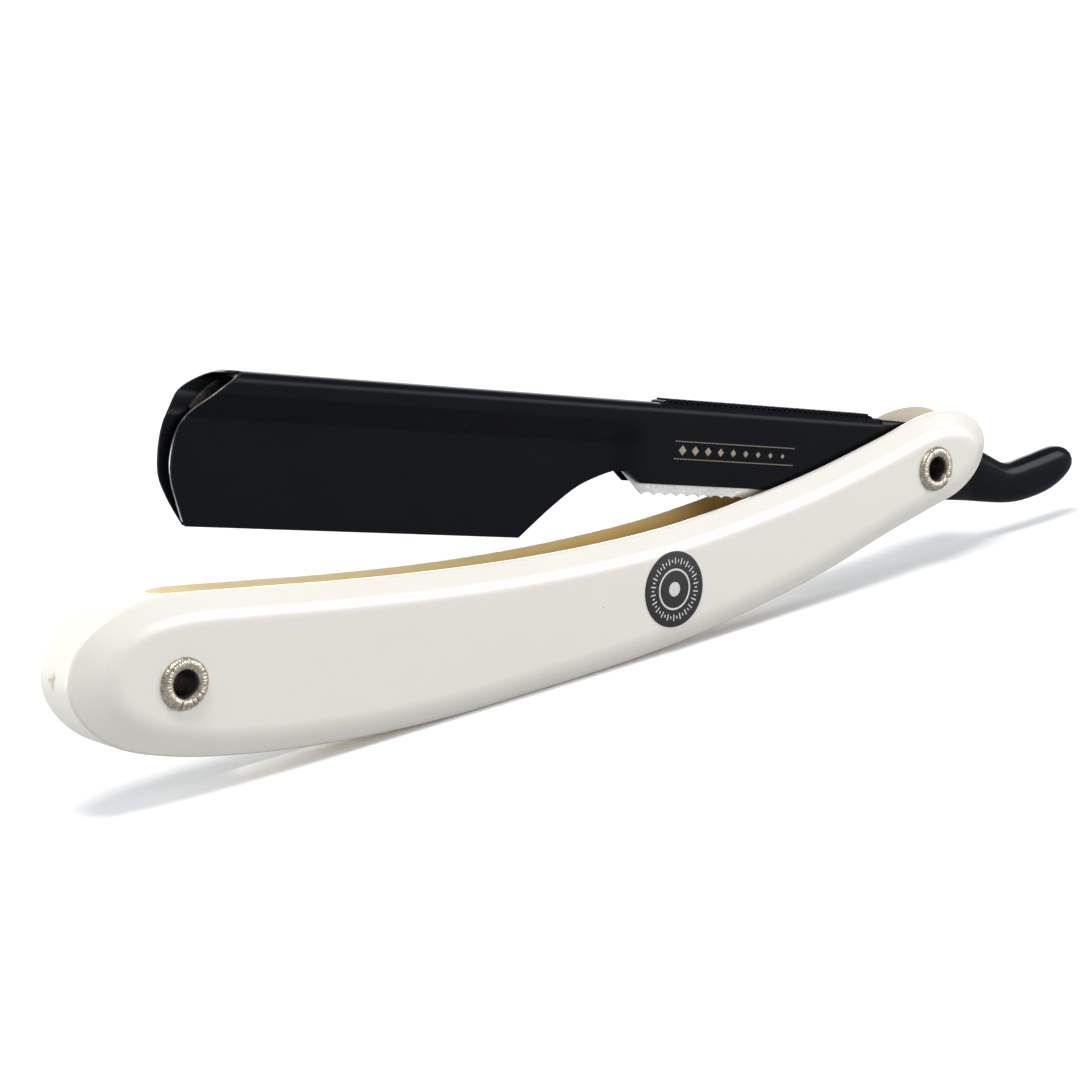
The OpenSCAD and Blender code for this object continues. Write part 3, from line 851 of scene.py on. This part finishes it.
def make_badge():
    face = HANDLE_HALF + spread(BADGE_X)
    top = BADGE_RISE
    disc = shade_smooth(spun_disc("badge_disc", disc_profile(BADGE_R, -0.05, top, 0.06), 160,
                                  INK_BLACK), 40)
    low, high = top - 0.02, top + 0.012
    ring = printed_ring("badge_ring", RING_AT, 0.26, low, high, INK_PALE)
    dot = spun_disc("badge_dot", disc_profile(DOT_R, low, high, 0.008), 48, INK_PALE)
    ticks = repeated("badge_ticks", RING, Count=TICKS, Radius=TICKS_AT * MM,
                     Size=(0.85 * MM, 0.16 * MM, high * MM - low * MM), Every_Other=0.55,
                     Material=INK_PALE)
    ticks.data.transform(Matrix.Translation((0, 0, (low + high) / 2 * MM)))
    print_marks = joined("badge_marks", [ring, dot, ticks])
    place = (Matrix.Translation(Vector((BADGE_X, -face, BADGE_Z)) * MM)
             @ Matrix.Rotation(math.radians(90), 4, "X"))
    for piece in (disc, print_marks):
        piece.data.transform(place)
        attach(piece, "handle")
    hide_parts("badge")


# --- Arm ---

def arm_section(parted, inset):
    """The arm's cross-section as (y, z): a hollow spine over two leaves."""
    round_r = SPINE_CORNER - inset
    half = HALF_ARM - inset
    leaf = LEAF_HALF - inset
    low = leaf + (half - leaf) * parted
    centre_z = SPINE_Z - SPINE_CORNER
    side = [(half - round_r + round_r * math.cos(a), centre_z + round_r * math.sin(a))
            for a in (math.pi / 2 * (1 - k / 10) for k in range(11))]
    side += [(half + (low - half) * ease(k / 14), 3.6 - 3.2 * k / 14) for k in range(15)]
    side.append((low, HOLDER_BOTTOM - 1))
    return side + [(-y, z) for y, z in reversed(side)]


def arm_solid(name, start, end, lag, inset, *materials):
    steps = 18
    stations = [(start, 0.0)]
    stations += [(FLARE_FROM + lag + (FLARE_TO - FLARE_FROM) * k / steps, ease(k / steps))
                 for k in range(steps + 1)]
    stations.append((end, 1.0))
    return loft(name, [[(x, y, z) for y, z in arm_section(parted, inset)]
                       for x, parted in stations], *materials)


def toe_cutter(name, keys, y_low, y_high):
    """What one leaf's toe is cut back by."""
    line = open_curve(keys, 8)
    return plate(name, line + [(line[-1][0], HOLDER_BOTTOM - 1), (-131, HOLDER_BOTTOM - 1),
                               (-131, SPINE_Z + 2), (line[0][0], SPINE_Z + 2)], y_low, y_high)


def make_shell():
    shell = arm_solid("folded_shell", -128, SHELL_END + 1, 0, 0, COATED, COATED_EDGE)
    outline = ([(-127, SPINE_Z + 1), (-127, HOLDER_BOTTOM)] + open_curve(HEEL, 8)
               + [(-54.2, -3), (-53.2, -3.6), (-51.9, SHANK_Z), (SHELL_END, SHANK_Z),
                  (SHELL_END, SPINE_Z + 1)])
    cut(shell, plate("side_view", outline, -4, 4), "INTERSECT")
    cut(shell, arm_solid("hollow", -130, SHELL_END + 3, 0, SHEET))
    cut(shell, toe_cutter("near_toe_cut", TOE_NEAR, -5, PARTING_Y))
    cut(shell, toe_cutter("far_toe_cut", TOE_FAR, PARTING_Y - 0.05, 5))
    half = STRIP_HALF + 0.08
    groove = [(STRIP_FROM - 0.05, SPINE_Z - 1), (STRIP_FROM - 0.05, SPINE_Z + 1),
              (SHELL_END + 2, SPINE_Z + 1), (SHELL_END + 2, SPINE_Z - 1)]
    cut(shell, plate("strip_slot", groove, -half, half))
    soften(shell, 0.09, 2, 40, 1)
    into_arm_frame(shell)
    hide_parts("holder_shell")
    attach(shell, "arm")


def make_carrier():
    carrier = arm_solid("push_out_carrier", -128, TAB_TO + 1, FLARE_LAG, CARRIER_INSET, STEEL,
                        STEEL_PAINTED_SHADE)
    floor_z = HOLDER_BOTTOM + 0.5
    toe = [(x, max(z, floor_z)) for x, z in open_curve(TOE_NEAR, 8)]
    tab_z = SHANK_Z - TAB_DROP
    teeth = int((TAB_TO - TAB_FROM) / TAB_PITCH)
    serrated = [(TAB_FROM + (i + s / 8) * TAB_PITCH,
                 tab_z + 0.3 * abs(math.sin(math.pi * s / 8)) ** 0.7)
                for i in range(teeth) for s in range(8)]
    outline = (toe + [(-70.8, floor_z), (-66, -7.6), (-61.5, -4.7), (-56.2, -2.7),
                      (-54.5, -2.7), (-51.3, -5.7)]
               + serrated + [(TAB_TO, tab_z), (TAB_TO, 3), (-60, 3), (-62, SPINE_Z + 1),
                             (TOE_NEAR[0][0], SPINE_Z + 1)])
    cut(carrier, plate("carrier_view", outline, -4, 4), "INTERSECT")
    cut(carrier, arm_solid("carrier_hollow", -130, TAB_TO + 3, FLARE_LAG,
                           CARRIER_INSET + CARRIER_SHEET))
    far_cut = [(-130, 2.3), (-121.2, 2.3), (-119.9, 0.6), (-119.3, -3), (-119.3, -14),
               (-130, -14)]
    cut(carrier, plate("far_leaf_cut", far_cut, 0.05, 4))
    tab_cut = [(-58, -1.8), (-53, -2.6), (-47.4, -3.9), (-46.6, -4.8), (-46.6, -8), (-58, -8)]
    cut(carrier, plate("far_tab_cut", tab_cut, 0.05, 4))
    soften(carrier, 0.06, 2, 40)
    # Inward faces, and far-side faces at the toe, get the steel with painted shade.
    for f in carrier.data.polygons:
        inward = f.center.y * f.normal.y < 0 and abs(f.normal.y) > 0.3
        if inward or f.center.y > 0 and f.center.x < -100 * MM:
            f.material_index = 1
    into_arm_frame(carrier)
    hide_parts("blade_carrier")
    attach(carrier, "carrier")


def make_tang():
    """Pivot bar and tail in one forging, with the core that fills the shell."""
    count = 72
    top = even_points(open_curve(TAIL_TOP, 8), count)
    bottom = even_points(open_curve(TAIL_BOTTOM, 8), count)
    rings, around = [], 40
    for k, (t, b) in enumerate(zip(top, bottom)):
        share = k / count
        left = (1 - share) / 0.13
        end = math.sqrt(max(1 - (1 - left) ** 2, 0.0)) if left < 1 else 1.0
        x = (t[0] + b[0]) / 2
        forged = ease((x - 4) / 9)
        half = (HALF_ARM + (TAIL_HALF - HALF_ARM) * forged) * max(end, 0.2)
        power = 9 + (2.5 - 9) * forged
        centre = Vector(((t[0] + b[0]) / 2, (t[1] + b[1]) / 2))
        reach = (Vector(t) - Vector(b)) / 2
        if k == count:
            reach = Vector((0.16, -0.28))
        ring = []
        for j in range(around):
            a = 2 * math.pi * (j + 0.5) / around
            u = math.copysign(abs(math.cos(a)) ** (2 / power), math.cos(a))
            v = math.copysign(abs(math.sin(a)) ** (2 / power), math.sin(a))
            ring.append((centre.x + reach.x * u, half * v, centre.y + reach.y * u))
        rings.append(ring)
    tang = loft("tang_and_tail", rings, COATED_TAIL)
    cut(tang, plate("pivot_hole", circle_points(BARREL_R + PIVOT_CLEARANCE), -5, 5))
    soften(tang, 0.12, 2, 50)
    core_half = HALF_ARM - SHEET - SEAT_GAP
    core = plate("core", [(-26, SHANK_Z + 0.3), (-26, SPINE_Z - 1.35), (-7.5, SPINE_Z - 1.35),
                          (-7.5, SHANK_Z + 0.3)], -core_half, core_half, COATED)
    soften(core, 0.15, 2)
    tang = joined("tang_and_tail", [tang, core])
    into_arm_frame(tang)
    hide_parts("tang")
    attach(tang, "arm")


def make_jimped_strip():
    """The thumb strip let into the spine, cut across all along its top."""
    top = SPINE_Z + STRIP_RISE
    to = SHELL_END - 1
    tooth, step = 0.62, 1.0
    cut_depth = 0.24
    nose = [(STRIP_FROM + 1.0 - 1.0 * math.sin(a), top - 1.0 + (1.0 - cut_depth) * math.cos(a))
            for a in (math.pi / 2 * (1 - k / 6) for k in range(7))]
    tail = [(to - 1.0 + 1.0 * math.sin(a), top - 1.0 + (1.0 - cut_depth) * math.cos(a))
            for a in (math.pi / 2 * k / 6 for k in range(7))]
    low = [(to, SHANK_Z + 1), (-46, SHANK_Z + 1), (STRIP_FROM, SHANK_Z + 1)]
    strip = plate("strip_base", nose + tail + low, -STRIP_HALF, STRIP_HALF, COATED)
    count = int(to - STRIP_FROM - 2)
    teeth = repeated("jimps", ROW, Count=count, Step=step * MM,
                     Size=(tooth * MM, 2 * STRIP_HALF * MM, 0.6 * MM), Taper=0.0, Turn=0.0,
                     Material=COATED)
    teeth.data.transform(Matrix.Translation(
        Vector((STRIP_FROM + 1.5, 0, top - 0.3)) * MM))
    strip = joined("jimped_strip", [strip, teeth])
    soften(strip, 0.07, 2, 40)
    into_arm_frame(strip)
    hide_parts("tang")
    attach(strip, "arm")


def make_etching():
    """A plain etched line ornament on the shank's near side."""
    lozenge = repeated("lozenges", ROW, Count=9, Step=2.3 * MM,
                       Size=(0.95 * MM, 0.02 * MM, 0.95 * MM), Taper=0.55,
                       Turn=math.radians(45), Material=ETCH)
    lozenge.data.transform(Matrix.Translation(Vector((-45.2, 0, 0.2)) * MM))
    rules = []
    for z in (1.35, -0.95):
        rule = repeated("rule", ROW, Count=44, Step=0.5 * MM,
                        Size=(0.3 * MM, 0.02 * MM, 0.13 * MM), Taper=0.0, Turn=0.0,
                        Material=ETCH)
        rule.data.transform(Matrix.Translation(Vector((-46.4, 0, z)) * MM))
        rules.append(rule)
    etching = joined("shank_etching", [lozenge, *rules])
    etching.data.transform(Matrix.Translation(Vector((0, -HALF_ARM, 0)) * MM))
    into_arm_frame(etching)
    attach(etching, "arm")


def finish_washers():
    for name in ("near_washer", "far_washer"):
        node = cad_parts[name]
        node.data.materials.clear()
        node.data.materials.append(WASHER)


# --- Camera, floor and light ---

def place_camera():
    data = bpy.data.cameras.new("camera")
    data.sensor_width = 36
    data.lens = 99.385
    data.clip_start, data.clip_end = 0.01, 30
    camera = bpy.data.objects.new("camera", data)
    bpy.context.scene.collection.objects.link(camera)
    right = Vector((0.76411, -0.63921, -0.08686))
    up = Vector((0.21202, 0.12169, 0.96966))
    back = Vector((-0.60925, -0.75934, 0.22851))
    turn = Matrix((right, up, back)).transposed().to_4x4()
    camera.matrix_world = Matrix.Translation(
        Vector((-298.178, -287.629, 90.335)) * MM) @ turn
    bpy.context.scene.camera = camera


def lay_floor():
    """A pale floor that is brighter to the eye than in the light it throws back."""
    m, tree, shader = new_material("pale_floor", Roughness=0.9, Specular_IOR_Level=0.1)
    seen = add(tree, "ShaderNodeLightPath").outputs["Is Camera Ray"]
    cloud = use(tree, MOTTLE, {"Scale": 4, "Contrast": 0.3})["Mask"]
    pale = mix_colour(tree, cloud, (1.03, 1.035, 1.04), (1.02, 1.025, 1.03))
    tree.links.new(mix_colour(tree, seen, (0.45, 0.45, 0.46), pale),
                   shader.inputs["Base Color"])
    half, z = 600.0, cad_low.z / MM
    floor = new_piece("floor", [(-half, -half, z), (half, -half, z), (half, half, z),
                                (-half, half, z)], [(0, 1, 2, 3)], m)


def softbox(name, place, aim, size, power, colour=(1, 1, 1)):
    data = bpy.data.lights.new(name, "AREA")
    data.shape, data.size, data.size_y = "RECTANGLE", size[0], size[1]
    data.energy, data.color = power, colour
    lamp = bpy.data.objects.new(name, data)
    bpy.context.scene.collection.objects.link(lamp)
    lamp.location = place
    lamp.rotation_mode = "QUATERNION"
    lamp.rotation_quaternion = (Vector(aim) - Vector(place)).to_track_quat("-Z", "Y")


def set_world():
    """White where the camera looks past the floor, and dim for everything else."""
    world = bpy.data.worlds.new("studio")
    bpy.context.scene.world = world
    world.use_nodes = True
    tree = world.node_tree
    tree.nodes.clear()
    seen = add(tree, "ShaderNodeBackground", {"Color": (1, 1, 1, 1), "Strength": 1.05})
    felt = add(tree, "ShaderNodeBackground", {"Color": (0.93, 0.96, 1, 1), "Strength": 0.34})
    mixed = add(tree, "ShaderNodeMixShader", {
        0: add(tree, "ShaderNodeLightPath").outputs["Is Camera Ray"],
        1: felt.outputs[0], 2: seen.outputs[0]})
    out = add(tree, "ShaderNodeOutputWorld")
    tree.links.new(mixed.outputs[0], out.inputs["Surface"])


def light_studio():
    set_world()
    middle = (-0.06, 0, 0)
    softbox("key", (-0.24, -0.14, 0.62), middle, (0.24, 0.15), 2.8)
    softbox("front_right", (0.58, -0.70, 0.25), middle, (0.7, 0.4), 6.1)
    softbox("left_fill", (-0.80, 0.32, 0.16), middle, (0.6, 0.4), 4.2)
    softbox("back_sky", (0.15, 0.70, 0.50), middle, (1.0, 0.5), 0.6, (0.94, 0.97, 1))
    softbox("back_rim", (0.50, 0.72, 0.22), middle, (0.8, 0.3), 2.4, (0.9, 0.96, 1))
    bpy.context.scene.view_settings.view_transform = "Standard"


place_camera()
make_handle()
make_eyelets()
make_badge()
make_shell()
make_carrier()
make_tang()
make_jimped_strip()
make_etching()
finish_washers()
lay_floor()
light_studio()
